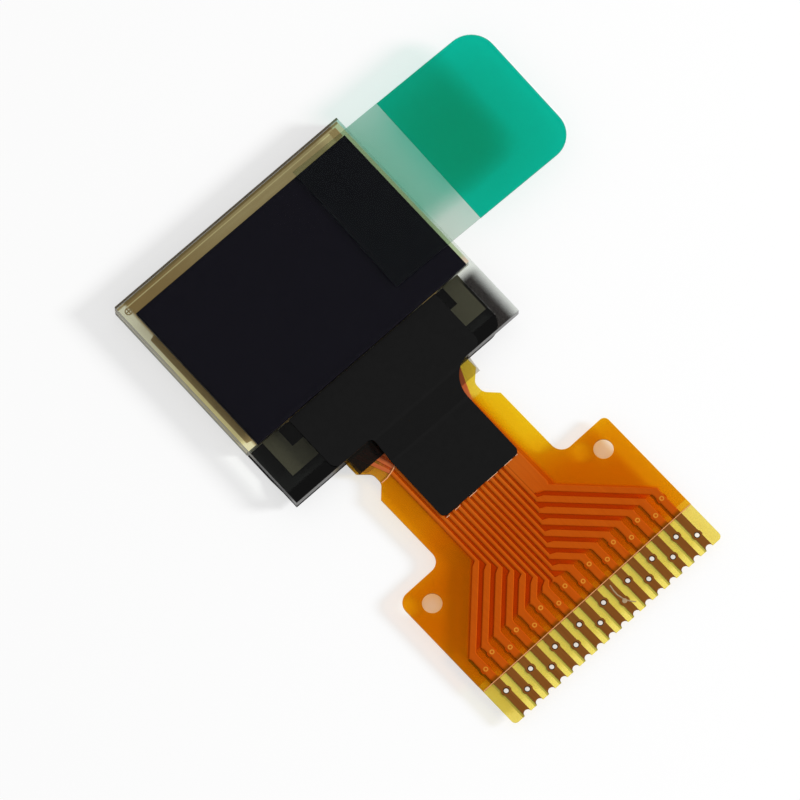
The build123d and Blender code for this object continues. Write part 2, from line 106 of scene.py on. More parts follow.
def add_node(tree, kind, settings=None, inputs=()):
    """A node with its settings. Its inputs are given in order, or by name or number. Each is a
    value, a hex colour, a socket, or a node whose first socket in use feeds it."""
    node = tree.nodes.new(kind)
    for name, value in (settings or {}).items():
        setattr(node, name, value)
    for key, value in inputs.items() if isinstance(inputs, dict) else enumerate(inputs):
        if isinstance(value, bpy.types.Node):
            value = next(socket for socket in value.outputs if socket.enabled)
        if isinstance(value, bpy.types.NodeSocket):
            tree.links.new(value, node.inputs[key])
        else:
            node.inputs[key].default_value = linear(value) if isinstance(value, str) else value
    return node


# Room: white all round. Mirrored rays see it dimmer, because the level shiny faces mirror the
# ceiling, which is less bright than the walls.
room_strength = 0.54
ceiling_strength = 0.16

world = bpy.data.worlds.new("white_room")
world.use_nodes = True
tree = world.node_tree
tree.nodes.clear()
path = add_node(tree, "ShaderNodeLightPath")
mirrored = add_node(
    tree,
    "ShaderNodeMath",
    {"operation": "SUBTRACT", "use_clamp": True},
    (path.outputs["Is Glossy Ray"], path.outputs["Is Transmission Ray"]),
)
strength = add_node(
    tree,
    "ShaderNodeMapRange",
    inputs={"Value": mirrored, "To Min": room_strength, "To Max": ceiling_strength},
)
room = add_node(tree, "ShaderNodeBackground", inputs={"Color": "#ffffff", "Strength": strength})
backdrop = add_node(tree, "ShaderNodeBackground", inputs={"Color": "#ffffff", "Strength": 1.0})
direct = path.outputs["Is Camera Ray"]
seen = add_node(tree, "ShaderNodeMixShader", inputs=(direct, room, backdrop))
add_node(tree, "ShaderNodeOutputWorld", inputs={"Surface": seen})
bpy.context.scene.world = world


def new_material(name):
    """An empty material and its node tree."""
    material = bpy.data.materials.new(name)
    material.use_nodes = True
    material.node_tree.nodes.clear()
    return material, material.node_tree


# Table: a sheet of white card. Seen directly it is white with a pale shadow. Through the films and
# the two tooling holes of the tail it shows as it is really lit, in the light that they let in.
table_width = 3.0
hole_middles = ((4.83, -11.83), (-4.54, -11.98))
hole_sight = 0.47 * mm
white_share = 0.6

card, tree = new_material("white_card")
path = add_node(tree, "ShaderNodeLightPath")
place = add_node(tree, "ShaderNodeTexCoord")
films_crossed = path.outputs["Transparent Depth"]
unveiled = add_node(tree, "ShaderNodeMath", {"operation": "LESS_THAN"}, (films_crossed, 0.5))
direct = path.outputs["Is Camera Ray"]
whitened = add_node(tree, "ShaderNodeMath", {"operation": "MULTIPLY"}, (direct, unveiled))
for across, along in hole_middles:
    distance = add_node(
        tree,
        "ShaderNodeVectorMath",
        {"operation": "DISTANCE"},
        (place.outputs["Object"], Vector((across, along, 0)) * mm),
    )
    beyond = add_node(
        tree,
        "ShaderNodeMath",
        {"operation": "GREATER_THAN"},
        (distance.outputs["Value"], hole_sight),
    )
    whitened = add_node(tree, "ShaderNodeMath", {"operation": "MULTIPLY"}, (whitened, beyond))
share = add_node(tree, "ShaderNodeMath", {"operation": "MULTIPLY"}, (whitened, white_share))
lit = add_node(tree, "ShaderNodeBsdfDiffuse", inputs={"Color": "#fbfbfb"})
white = add_node(tree, "ShaderNodeEmission", inputs={"Color": "#ffffff", "Strength": 1.0})
shown = add_node(tree, "ShaderNodeMixShader", inputs=(share, lit, white))
add_node(tree, "ShaderNodeOutputMaterial", inputs={"Surface": shown})

form = bmesh.new()
bmesh.ops.create_grid(form, x_segments=1, y_segments=1, size=table_width / 2)
mesh = bpy.data.meshes.new("table")
form.to_mesh(mesh)
form.free()
mesh.materials.append(card)
table = bpy.data.objects.new("table", mesh)
bpy.context.scene.collection.objects.link(table)


def dress(material, *names):
    """Gives a material to nodes of the model."""
    for name in names:
        nodes[name].data.materials.clear()
        nodes[name].data.materials.append(material)


def cut_faces(tree):
    """1 on upright faces, such as a cut edge, and 0 on level ones."""
    shape = add_node(tree, "ShaderNodeNewGeometry")
    parts = add_node(tree, "ShaderNodeSeparateXYZ", inputs=(shape.outputs["Normal"],))
    size = add_node(tree, "ShaderNodeMath", {"operation": "ABSOLUTE"}, (parts.outputs["Z"],))
    return add_node(tree, "ShaderNodeMath", {"operation": "LESS_THAN"}, (size, 0.5))


def place_in_mm(tree, origin=(0, 0, 0), lean=0.0):
    """Place on the object in millimetres, from an origin in metres and turned by a lean."""
    place = add_node(tree, "ShaderNodeTexCoord")
    turned = {
        "Vector": place.outputs["Object"],
        "Location": origin,
        "Rotation": (0, 0, lean),
        "Scale": (mm, mm, mm),
    }
    return add_node(tree, "ShaderNodeMapping", {"vector_type": "TEXTURE"}, turned)


# Glass: the substrate and the cap, soda-lime float glass of 0.5 mm. It was scored and broken to
# size, so the faces are fire polished and the edges are dull and dark. A soft shadow is painted
# into the ledge's see-through tint, dark beside the rear tape and fading out towards its lower
# right corner.
face_gloss = 0.04
cut_cover = 0.84
# Light crosses three films and two panes on its way in and out, each with two clear faces.
light_paths = 32
# Where one colour passes into the next, in millimetres across or up the glass.
painted_shadow_span = (5.42, 6.14)
mark_side = (5.14, 5.18)
mark_foot = (-5.0, -4.9)
top_rim = (5.36, 5.42)
top_cut = (5.40, 5.48)
ledge_top = (-3.2, -2.7)
ledge_cut_top = (-3.2, -2.8)
# Settings of two kinds of node. A mix of colours takes its share as input 0 and the two colours as
# inputs 6 and 7. A soft step takes a value and the two places between which it goes from 0 to 1.
colour_mix = {"data_type": "RGBA"}
soft_step = {"interpolation_type": "SMOOTHSTEP"}

bpy.context.scene.cycles.transparent_max_bounces = light_paths
glass, tree = new_material("float_glass")
shape = add_node(tree, "ShaderNodeNewGeometry")
inside = shape.outputs["Backfacing"]
cut = cut_faces(tree)
parts = add_node(tree, "ShaderNodeSeparateXYZ", inputs=(place_in_mm(tree),))
x, y = parts.outputs["X"], parts.outputs["Y"]
# Painted shadow in the ledge's tint: dark right of the right mark and below the marks' foot,
# fading to clear towards the right end.
out_of_painted_shadow = add_node(tree, "ShaderNodeMapRange", soft_step, (x, *painted_shadow_span))
corner = add_node(tree, "ShaderNodeMix", colour_mix, {0: out_of_painted_shadow, 6: "#383533", 7: "#f2f6f1"})
beside_mark = add_node(tree, "ShaderNodeMapRange", soft_step, (x, *mark_side))
above_foot = add_node(tree, "ShaderNodeMapRange", soft_step, (y, *mark_foot))
below_mark = add_node(tree, "ShaderNodeMath", {"operation": "SUBTRACT"}, (1.0, above_foot))
shaded = add_node(tree, "ShaderNodeMath", {"operation": "MAXIMUM"}, (below_mark, beside_mark))
ledge = add_node(tree, "ShaderNodeMix", colour_mix, {0: shaded, 6: "#f2f6f1", 7: corner})
at_top = add_node(tree, "ShaderNodeMapRange", soft_step, (y, *top_rim))
rim = add_node(tree, "ShaderNodeMix", colour_mix, {0: at_top, 6: "#f2f6f1", 7: "#857a66"})
above_ledge = add_node(tree, "ShaderNodeMapRange", soft_step, (y, *ledge_top))
clear = add_node(tree, "ShaderNodeMix", colour_mix, {0: above_ledge, 6: ledge, 7: rim})
through = add_node(tree, "ShaderNodeMix", colour_mix, {0: inside, 6: clear, 7: "#ffffff"})
passing = add_node(tree, "ShaderNodeBsdfTransparent", inputs={"Color": through})
at_top_cut = add_node(tree, "ShaderNodeMapRange", soft_step, (y, *top_cut))
border = add_node(tree, "ShaderNodeMix", colour_mix, {0: at_top_cut, 6: "#7c7868", 7: "#4c4438"})
above_cut = add_node(tree, "ShaderNodeMapRange", soft_step, (y, *ledge_cut_top))
broken = add_node(tree, "ShaderNodeMix", colour_mix, {0: above_cut, 6: "#24221e", 7: border})
skin = {
    "Base Color": add_node(tree, "ShaderNodeMix", colour_mix, {0: cut, 6: "#ffffff", 7: broken}),
    "Metallic": add_node(tree, "ShaderNodeMath", {"operation": "SUBTRACT"}, (1.0, cut)),
    "Roughness": 0.06,
}
body = add_node(tree, "ShaderNodeBsdfPrincipled", inputs=skin)
cover = {0: cut, 2: face_gloss, 3: cut_cover}
share = add_node(tree, "ShaderNodeMix", {"data_type": "FLOAT"}, cover)
outside = add_node(tree, "ShaderNodeMath", {"operation": "SUBTRACT"}, (1.0, inside))
covering = add_node(tree, "ShaderNodeMath", {"operation": "MULTIPLY"}, (share, outside))
shown = add_node(tree, "ShaderNodeMixShader", inputs=(covering, passing, body))
add_node(tree, "ShaderNodeOutputMaterial", inputs={"Surface": shown})

pocket_margin = 1.25 * mm
pocket_depth = 0.25 * mm
broken_edge = 0.025 * mm
hair_gap = 0.002 * mm


def new_piece(name, form, material, slot, *replaced):
    """Finishes a modelled form as a piece that rides with the display and may replace nodes."""
    bmesh.ops.recalc_face_normals(form, faces=form.faces)
    mesh = bpy.data.meshes.new(name)
    form.to_mesh(mesh)
    form.free()
    mesh.materials.append(material)
    piece = bpy.data.objects.new(name, mesh)
    bpy.context.scene.collection.objects.link(piece)
    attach(piece, "root")
    if replaced:
        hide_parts(*replaced)
    return piece


def pane(node):
    """A plate of glass with lightly broken edges, a hair smaller than its node on every side."""
    low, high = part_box(node)
    form = bmesh.new()
    bmesh.ops.create_cube(form, size=1.0)
    bmesh.ops.scale(form, vec=high - low - Vector((2, 2, 2)) * hair_gap, verts=form.verts)
    bmesh.ops.translate(form, vec=(low + high) / 2, verts=form.verts)
    bmesh.ops.bevel(
        form,
        geom=form.edges[:],
        offset=broken_edge,
        segments=2,
        profile=0.5,
        affect="EDGES",
        material=-1,
    )
    return form


new_piece("substrate_pane", pane("substrate_glass"), glass, "glass", "substrate_glass")

form = pane("cap_glass")
inner_face = max(form.faces, key=lambda face: face.calc_center_median().z + face.calc_area())
bmesh.ops.inset_region(form, faces=[inner_face], thickness=pocket_margin, use_even_offset=True)
floor_faces = bmesh.ops.extrude_discrete_faces(form, faces=[inner_face])["faces"]
bmesh.ops.translate(form, vec=(0, 0, -pocket_depth), verts=floor_faces[0].verts)
new_piece("cap_pane", form, glass, "glass", "cap_glass")

# Sputtered metal: thin dull layers on the inner face of the substrate, for the marks and tracks of
# the ledge and for the rows. The dark tracks beside the display are finer lines, which show as a
# brown band.
dull = {"Metallic": 0.3, "Roughness": 0.5, "Specular IOR Level": 0.3}

metal, tree = new_material("sputtered_metal")
cloudy_and_painted_haze = {"Vector": place_in_mm(tree), "Scale": 9.0, "Detail": 3.0}
grain = add_node(tree, "ShaderNodeTexNoise", inputs=cloudy_and_painted_haze)
shades = {0: grain.outputs["Fac"], 6: "#4e4a3c", 7: "#585444"}
colour = add_node(tree, "ShaderNodeMix", colour_mix, shades)
body = add_node(tree, "ShaderNodeBsdfPrincipled", inputs={"Base Color": colour, **dull})
add_node(tree, "ShaderNodeOutputMaterial", inputs={"Surface": body})
dress(metal, "ledge_marks", "ledge_tracks", "cathode_rows")

track_metal, tree = new_material("dark_track_metal")
ruled = {"Vector": place_in_mm(tree), "Scale": 7.0}
lines = add_node(tree, "ShaderNodeTexWave", {"bands_direction": "X"}, ruled)
shades = {0: lines.outputs["Fac"], 6: "#b09060", 7: "#dcbc84"}
colour = add_node(tree, "ShaderNodeMix", colour_mix, shades)
body = add_node(tree, "ShaderNodeBsdfPrincipled", inputs={"Base Color": colour, **dull})
add_node(tree, "ShaderNodeOutputMaterial", inputs={"Surface": body})
dress(track_metal, "row_tracks", "corner_marks")


def film_material(name, finish, roughness=0.12, edge_colour="#403010"):
    """Thin clear film: light takes the tint once on its way in, and the haze is scattered in the
    body colour. The finish is these three, or a function of the node tree that gives them."""
    edge_cover = 0.75
    film_ior = 1.6
    material, tree = new_material(name)
    tint, body_colour, haze = finish(tree) if callable(finish) else finish
    shape = add_node(tree, "ShaderNodeNewGeometry")
    inside = shape.outputs["Backfacing"]
    cut = cut_faces(tree)
    through = add_node(tree, "ShaderNodeMix", colour_mix, {0: inside, 6: tint, 7: "#ffffff"})
    passing = add_node(tree, "ShaderNodeBsdfTransparent", inputs={"Color": through})
    surface = add_node(tree, "ShaderNodeMix", colour_mix, {0: cut, 6: body_colour, 7: edge_colour})
    look = {
        "Base Color": surface,
        "Roughness": roughness,
        "IOR": film_ior,
        "Specular IOR Level": 0.5,
    }
    body = add_node(tree, "ShaderNodeBsdfPrincipled", inputs=look)
    cover = {0: cut, 2: haze, 3: edge_cover}
    share = add_node(tree, "ShaderNodeMix", {"data_type": "FLOAT"}, cover)
    outside = add_node(tree, "ShaderNodeMath", {"operation": "SUBTRACT"}, (1.0, inside))
    covering = add_node(tree, "ShaderNodeMath", {"operation": "MULTIPLY"}, (share, outside))
    shown = add_node(tree, "ShaderNodeMixShader", inputs=(covering, passing, body))
    add_node(tree, "ShaderNodeOutputMaterial", inputs={"Surface": shown})
    return material


def glued_film(name, material, slot, node):
    """A copy of a film's node, drawn back a hair from the films that it is glued to."""
    low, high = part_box(node)
    middle = (low.z + high.z) / 2
    same_place = 1e-8
    form = bmesh.new()
    form.from_mesh(nodes[node].data)
    bmesh.ops.remove_doubles(form, verts=form.verts, dist=same_place)
    for vert in form.verts:
        vert.co.z += hair_gap if vert.co.z < middle else -hair_gap
    new_piece(name, form, material, slot, node)


# Display layers: a clear conducting oxide for the columns, and the organic layer that gives the
# light. Both are deposited on the substrate, and are too clear and thin to be made out.
dress(film_material("indium_tin_oxide", ("#e8e8e0", "#b0b0a0", 0.05)), "anode_columns")
dress(film_material("organic_stack", ("#d8cfb4", "#b0a070", 0.10)), "organic_layer")

# Seal frame: epoxy squeezed flat between the two glasses. It shows as a gold band down the left
# border, an olive one along the top with a pale line in it, and a paler one down the right. The
# light that runs along inside the glass is painted in: an emission glow lifts the whole frame, the
# left band is painted near white, palest towards the top, and a pinkish glint is painted at the
# foot of the right band.
# The emission is a painted glow, which stands in for the light that runs along inside the glass.
painted_glow = "#665634"
gold_to_olive = (-4.5, 1.0)
line_foot = (5.24, 5.26)
line_head = (5.28, 5.31)
top_edge = (5.38, 5.42)
left_light_rise = (0.5, 4.0)
left_foot = (-2.2, -2.1)
right_glint_top = (-2.4, -2.0)
left_side = (-5.62, -5.45)
right_side = (5.60, 5.72)

seal, tree = new_material("seal_epoxy")
place = place_in_mm(tree)
parts = add_node(tree, "ShaderNodeSeparateXYZ", inputs=(place,))
x, y = parts.outputs["X"], parts.outputs["Y"]
streaks = add_node(tree, "ShaderNodeMapping", inputs={"Vector": place, "Scale": (0.35, 5.0, 1.0)})
streaky = {"Vector": streaks, "Scale": 1.4, "Detail": 4.0}
cloud_and_painted_light = add_node(tree, "ShaderNodeTexNoise", inputs=streaky)
shades = {0: cloud_and_painted_light.outputs["Fac"], 6: "#94815b", 7: "#b4a886"}
olive = add_node(tree, "ShaderNodeMix", colour_mix, shades)
to_olive = add_node(tree, "ShaderNodeMapRange", soft_step, (x, *gold_to_olive))
top = add_node(tree, "ShaderNodeMix", colour_mix, {0: to_olive, 6: "#70522a", 7: olive})
on_line = add_node(tree, "ShaderNodeMapRange", soft_step, (y, *line_foot))
line = add_node(tree, "ShaderNodeMix", colour_mix, {0: on_line, 6: top, 7: "#cfc59a"})
above_line = add_node(tree, "ShaderNodeMapRange", soft_step, (y, *line_head))
past_line = add_node(tree, "ShaderNodeMix", colour_mix, {0: above_line, 6: line, 7: top})
at_edge = add_node(tree, "ShaderNodeMapRange", soft_step, (y, *top_edge))
upper = add_node(tree, "ShaderNodeMix", colour_mix, {0: at_edge, 6: past_line, 7: "#3c342a"})
# The left band is painted light: near-white gold, palest towards the top and at its foot.
up_left = add_node(tree, "ShaderNodeMapRange", soft_step, (y, *left_light_rise))
left = add_node(tree, "ShaderNodeMix", colour_mix, {0: up_left, 6: "#fff0b8", 7: "#fffff0"})
above_left = add_node(tree, "ShaderNodeMapRange", soft_step, (y, *left_foot))
painted_left_band = add_node(tree, "ShaderNodeMix", colour_mix, {0: above_left, 6: "#fff4d0", 7: left})
# A pinkish glint is painted at the foot of the right band.
above_glint = add_node(tree, "ShaderNodeMapRange", soft_step, (y, *right_glint_top))
right_band_and_glint = add_node(tree, "ShaderNodeMix", colour_mix, {0: above_glint, 6: "#e6ccc4", 7: "#b3cbad"})
past_left = add_node(tree, "ShaderNodeMapRange", soft_step, (x, *left_side))
to_top = add_node(tree, "ShaderNodeMix", colour_mix, {0: past_left, 6: painted_left_band, 7: upper})
at_right = add_node(tree, "ShaderNodeMapRange", soft_step, (x, *right_side))
colour = add_node(tree, "ShaderNodeMix", colour_mix, {0: at_right, 6: to_top, 7: right_band_and_glint})
look = {
    "Base Color": colour,
    "Roughness": 0.4,
    "Specular IOR Level": 0.3,
    "Emission Color": painted_glow,
    "Emission Strength": 1.0,
}
body = add_node(tree, "ShaderNodeBsdfPrincipled", inputs=look)
add_node(tree, "ShaderNodeOutputMaterial", inputs={"Surface": body})
dress(seal, "seal_frame")


def plain_material(
    name, low, high, scale, roughness, specular=0.5, metallic=0.0, bump=0.0, painted_slope_shade=None
):
    """An opaque finish whose colour wanders between two shades, with a fine grain in its surface
    and, where a slope colour is given, a painted shade on slopes."""
    material, tree = new_material(name)
    place = place_in_mm(tree)
    patches = {"Vector": place, "Scale": scale, "Detail": 4.0}
    grain = add_node(tree, "ShaderNodeTexNoise", inputs=patches)
    shades = {0: grain.outputs["Fac"], 6: low, 7: high}
    colour = add_node(tree, "ShaderNodeMix", colour_mix, shades)
    # Slopes can be painted another colour, a painted shade that keeps them from showing lighter
    # where they face the lamp.
    if painted_slope_shade:
        nearly_level = (0.85, 0.995)
        shape = add_node(tree, "ShaderNodeNewGeometry")
        normal = add_node(tree, "ShaderNodeSeparateXYZ", inputs=(shape.outputs["Normal"],))
        upward = normal.outputs["Z"]
        level = add_node(tree, "ShaderNodeMapRange", soft_step, (upward, *nearly_level))
        colour = add_node(tree, "ShaderNodeMix", colour_mix, {0: level, 6: painted_slope_shade, 7: colour})
    look = {
        "Base Color": colour,
        "Roughness": roughness,
        "Specular IOR Level": specular,
        "Metallic": metallic,
    }
    if bump:
        crumbs = {"Vector": place, "Scale": 22.0, "Detail": 2.0}
        fine = add_node(tree, "ShaderNodeTexNoise", inputs=crumbs)
        relief = {"Strength": 1.0, "Distance": bump * mm, "Height": fine.outputs["Fac"]}
        look["Normal"] = add_node(tree, "ShaderNodeBump", inputs=relief)
    body = add_node(tree, "ShaderNodeBsdfPrincipled", inputs=look)
    add_node(tree, "ShaderNodeOutputMaterial", inputs={"Surface": body})
    return material


# Polarizer: laminated film with a satin face, bluish black because it takes up the light, under
# its clear protective film.
polarizer_film = plain_material(
    "polarizer_film", "#13121a", "#16151c", scale=3.0, roughness=0.45, specular=0.10
)
dress(polarizer_film, "polarizer")
protective_pet = film_material(
    "protective_pet", ("#fbfbfb", "#101015", 0.04), roughness=0.25, edge_colour="#202024"
)
dress(protective_pet, "protective_film")

# Pull tab: clear tape stuck on the protective film, with a grip of green film laminated under
# its free end. Both are see-through, so that the table shows through the tab.
clear_tape = film_material(
    "carrier_tape", ("#d8e4dc", "#4c4c50", 0.05), roughness=0.3, edge_colour="#161816"
)
glued_film("carrier_tape", clear_tape, "clear_film", "tab_tape")
green_film = film_material(
    "green_pet", ("#00dac2", "#00805c", 0.06), roughness=0.3, edge_colour="#00604a"
)
glued_film("green_grip", green_film, "green_film", "tab_grip")

# Chip, adhesives and desiccant: a polished silicon die, grey conductive adhesive, and the pale
# sheet that dries the pocket.
silicon = plain_material("polished_silicon", "#2c2c31", "#35353a", scale=2.0, roughness=0.15)
dress(silicon, "driver_chip")
bond = plain_material("conductive_adhesive", "#85795a", "#968a6a", scale=8.0, roughness=0.5)
dress(bond, "chip_bond", "flex_bond")
desiccant = plain_material(
    "desiccant_sheet", "#d4d0c4", "#e2dfd4", scale=6.0, roughness=0.8, specular=0.2
)
dress(desiccant, "desiccant_sheet")

# Tail films: polyimide, a yellow base film with an amber coverlay glued on either side. The more
# films the light goes through, the deeper the orange. Light and shade are painted into the base
# film: red between the covered conductors for the light that the copper throws back, orange on the
# shaded left side of the neck, and pale and hazed where it is bare, palest between the bare
# fingers for the light that comes up from the card.
tail_origin = Vector((-0.07, -5.5, 0.0)) * mm
tail_lean = radians(0.9)
bare_start = -10.57
bare_fade = 0.05
fan_end = -9.15
fan_fade = 0.15
fan_lead = 3.9  # how far down the tail the fan would start if its sides met in the middle
lanes_reach = 2.35
fingers_reach = 5.2
sides_fade = (-0.1, 0.2)
shaded_side = (2.2, 2.45)
shaded_neck = (-6.2, -4.6)
clear_haze = 0.2
painted_haze = 0.3
shoulders_to_neck = (-12.0, -9.0)


def base_finish(tree):
    """Painted light and shade: red between the covered lanes and orange between the covered
    fingers, for the copper's reflected light, orange along the shaded left side of the neck, and
    pale and hazed where bare, palest in the gaps between the bare fingers, for the light from the
    card."""
    place = place_in_mm(tree, tail_origin, tail_lean)
    parts = add_node(tree, "ShaderNodeSeparateXYZ", inputs=(place,))
    x, y = parts.outputs["X"], parts.outputs["Y"]
    across = add_node(tree, "ShaderNodeMath", {"operation": "ABSOLUTE"}, (x,))
    fan = add_node(tree, "ShaderNodeMath", {"operation": "MULTIPLY_ADD"}, (y, -1.0, -fan_lead))
    wide = add_node(tree, "ShaderNodeMath", {"operation": "MAXIMUM"}, (fan, lanes_reach))
    reach = add_node(tree, "ShaderNodeMath", {"operation": "MINIMUM"}, (wide, fingers_reach))
    depth = add_node(tree, "ShaderNodeMath", {"operation": "SUBTRACT"}, (reach, across))
    among = add_node(tree, "ShaderNodeMapRange", soft_step, (depth, *sides_fade))
    on_fan = (y, fan_end - fan_fade, fan_end + fan_fade)
    above = add_node(tree, "ShaderNodeMapRange", soft_step, on_fan)
    lanes = add_node(tree, "ShaderNodeMath", {"operation": "MULTIPLY"}, (among, above))
    on_cover = (y, bare_start - bare_fade, bare_start + bare_fade)
    covered = add_node(tree, "ShaderNodeMapRange", soft_step, on_cover)
    bare = add_node(tree, "ShaderNodeMath", {"operation": "SUBTRACT"}, (1.0, covered))
    gaps = add_node(tree, "ShaderNodeMath", {"operation": "MULTIPLY"}, (among, bare))
    leftwards = add_node(tree, "ShaderNodeMath", {"operation": "MULTIPLY"}, (x, -1.0))
    beside = add_node(tree, "ShaderNodeMapRange", soft_step, (leftwards, *shaded_side))
    on_neck = add_node(tree, "ShaderNodeMapRange", soft_step, (y, *shaded_neck))
    shaded_left = add_node(tree, "ShaderNodeMath", {"operation": "MULTIPLY"}, (beside, on_neck))

    # Painted shade and reflected light in the tint: deeper on the shaded left of the neck, red
    # between the covered lanes.
    plain = add_node(tree, "ShaderNodeMix", colour_mix, {0: shaded_left, 6: "#f6e781", 7: "#f8dc74"})
    tint = add_node(tree, "ShaderNodeMix", colour_mix, {0: lanes, 6: plain, 7: "#f69a50"})

    # Painted light in the body colour: orange on the shaded left of the neck and among the covered
    # fingers, red between the lanes, pale between the bare fingers.
    neck = add_node(tree, "ShaderNodeMix", colour_mix, {0: shaded_left, 6: "#e2ca48", 7: "#f29e28"})
    fingers = add_node(tree, "ShaderNodeMix", colour_mix, {0: among, 6: neck, 7: "#f09a34"})
    pale = add_node(tree, "ShaderNodeMix", colour_mix, {0: gaps, 6: "#e2ca48", 7: "#ffee64"})
    cloud_and_painted_light = add_node(tree, "ShaderNodeMix", colour_mix, {0: bare, 6: fingers, 7: pale})
    body_colour = add_node(tree, "ShaderNodeMix", colour_mix, {0: lanes, 6: cloud_and_painted_light, 7: "#d85a1c"})

    # The haze share is raised where light and shade are painted in.
    painted_haze_mask = add_node(tree, "ShaderNodeMath", {"operation": "MAXIMUM"}, (among, shaded_left))
    halfway = add_node(tree, "ShaderNodeMath", {"operation": "MULTIPLY"}, (painted_haze_mask, 0.5))
    inner = add_node(tree, "ShaderNodeMath", {"operation": "MAXIMUM"}, (halfway, lanes))
    cloudy_and_painted_haze = add_node(tree, "ShaderNodeMath", {"operation": "MAXIMUM"}, (inner, bare))
    levels = (cloudy_and_painted_haze, painted_haze, clear_haze)
    haze = add_node(tree, "ShaderNodeMath", {"operation": "MULTIPLY_ADD"}, levels)
    return tint, body_colour, haze


def coverlay_finish(tree):
    """Yellower on the neck and deeper on the shoulders."""
    parts = add_node(tree, "ShaderNodeSeparateXYZ", inputs=(place_in_mm(tree),))
    way_up = (parts.outputs["Y"], *shoulders_to_neck)
    to_neck = add_node(tree, "ShaderNodeMapRange", soft_step, way_up)
    tint = add_node(tree, "ShaderNodeMix", colour_mix, {0: to_neck, 6: "#f6cf5a", 7: "#fef084"})
    return tint, "#c87808", 0.03


base_film = film_material("base_polyimide", base_finish, roughness=0.15, edge_colour="#5a4408")
glued_film("base_film", base_film, "polyimide", "flex_base")
coverlay_film = film_material(
    "coverlay_polyimide", coverlay_finish, roughness=0.18, edge_colour="#5a3404"
)
glued_film("front_coverlay_film", coverlay_film, "coverlay", "front_coverlay")
glued_film("rear_coverlay_film", coverlay_film, "coverlay", "rear_coverlay")

# Conductors: rolled copper foil, etched. Under the coverlay it is bright, and the bare fingers are
# tarnished brown. The rear fingers show as dark lines beside the front ones.
conductor_count = 16
tarnish_start = -10.40
tarnish_fade = 0.1
foil_back = 0.47

copper, tree = new_material("copper_foil")
place = place_in_mm(tree, tail_origin, tail_lean)
parts = add_node(tree, "ShaderNodeSeparateXYZ", inputs=(place,))
rolled = add_node(tree, "ShaderNodeMapping", inputs={"Vector": place, "Scale": (14.0, 0.8, 1.0)})
grain = add_node(
    tree, "ShaderNodeTexNoise", inputs={"Vector": rolled, "Scale": 1.0, "Detail": 3.0}
)
streak = grain.outputs["Fac"]
stain = add_node(tree, "ShaderNodeTexNoise", inputs={"Vector": place, "Scale": 1.6, "Detail": 2.0})
stained = stain.outputs["Fac"]
bright = add_node(tree, "ShaderNodeMix", colour_mix, {0: streak, 6: "#e06b34", 7: "#f17f46"})
tarnish = add_node(tree, "ShaderNodeMix", colour_mix, {0: streak, 6: "#7a4210", 7: "#b4722c"})
brown = add_node(tree, "ShaderNodeMix", colour_mix, {0: stained, 6: tarnish, 7: "#985a1a"})
on_cover = (parts.outputs["Y"], tarnish_start - tarnish_fade, tarnish_start + tarnish_fade)
covered = add_node(tree, "ShaderNodeMapRange", soft_step, on_cover)
front = add_node(tree, "ShaderNodeMix", colour_mix, {0: covered, 6: brown, 7: bright})
height = parts.outputs["Z"]
behind = add_node(tree, "ShaderNodeMath", {"operation": "LESS_THAN"}, (height, foil_back))
shape = add_node(tree, "ShaderNodeNewGeometry")
normal = add_node(tree, "ShaderNodeSeparateXYZ", inputs=(shape.outputs["Normal"],))
slant = normal.outputs["Z"]
upward = add_node(tree, "ShaderNodeMath", {"operation": "GREATER_THAN"}, (slant, 0.5))
hidden = add_node(tree, "ShaderNodeMath", {"operation": "MULTIPLY"}, (behind, upward))
colour = add_node(tree, "ShaderNodeMix", colour_mix, {0: hidden, 6: front, 7: "#3a0c00"})
look = {"Base Color": colour, "Metallic": 0.4, "Roughness": 0.36}
body = add_node(tree, "ShaderNodeBsdfPrincipled", inputs=look)
add_node(tree, "ShaderNodeOutputMaterial", inputs={"Surface": body})
dress(copper, *[f"conductor_{number + 1:02d}" for number in range(conductor_count)])

# Crowns of the conductors: etching leaves sloped edges on the foil, and the coverlay follows them,
# so each covered line has a bright side and a dark side.
finger_pitch = 0.664
finger_half = 0.165
finger_start = 9.18
lane_pitch = 0.25
lane_half = 0.075
first_lane = -2.20
wide_lane_half = 0.38
wide_lane_middle = 1.755
lane_start = 1.45
coverlay_end = 10.55
fan_half = 0.198
fan_taper = 0.12
slope_width = 0.042
crown_height = 0.020 * mm
crown_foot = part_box("conductor_01")[1].z


def tail_place(across, station, height):
    """A point of the tail in the row's frame, from millimetres across and down the tail."""
    turned = Vector((cos(tail_lean), sin(tail_lean), 0)) * across
    turned += Vector((sin(tail_lean), -cos(tail_lean), 0)) * station
    return tail_origin + turned * mm + Vector((0, 0, height))


def finger_middle(number):
    """How far across the tail a finger stands."""
    return (number - (conductor_count - 1) / 2) * finger_pitch


def run_bar(form, sections):
    """Extrudes a ring of corners from section to section and closes both ends."""
    same_place = 1e-9
    ring = [form.verts.new(corner) for corner in sections[0]]
    form.faces.new(ring)
    for corners in sections[1:]:
        edges = [form.edges.get((ring[place - 1], ring[place])) for place in range(len(ring))]
        grown = bmesh.ops.extrude_edge_only(form, edges=edges)["geom"]
        fresh = [part for part in grown if isinstance(part, bmesh.types.BMVert)]
        moved = []
        for old, corner in zip(ring, corners):
            twin = next(vert for vert in fresh if (vert.co - old.co).length < same_place)
            fresh.remove(twin)
            moved.append((twin, corner))
        for twin, corner in moved:
            twin.co = corner
        ring = [twin for twin, _ in moved]
    form.faces.new(ring)


def crown_section(across, station, half):
    """The sloped section of a conductor's crown at a place along it."""
    feet = (across - half, across + half)
    tops = (across + half - slope_width, across - half + slope_width)
    low = [tail_place(x, station, crown_foot) for x in feet]
    return low + [tail_place(x, station, crown_foot + crown_height) for x in tops]


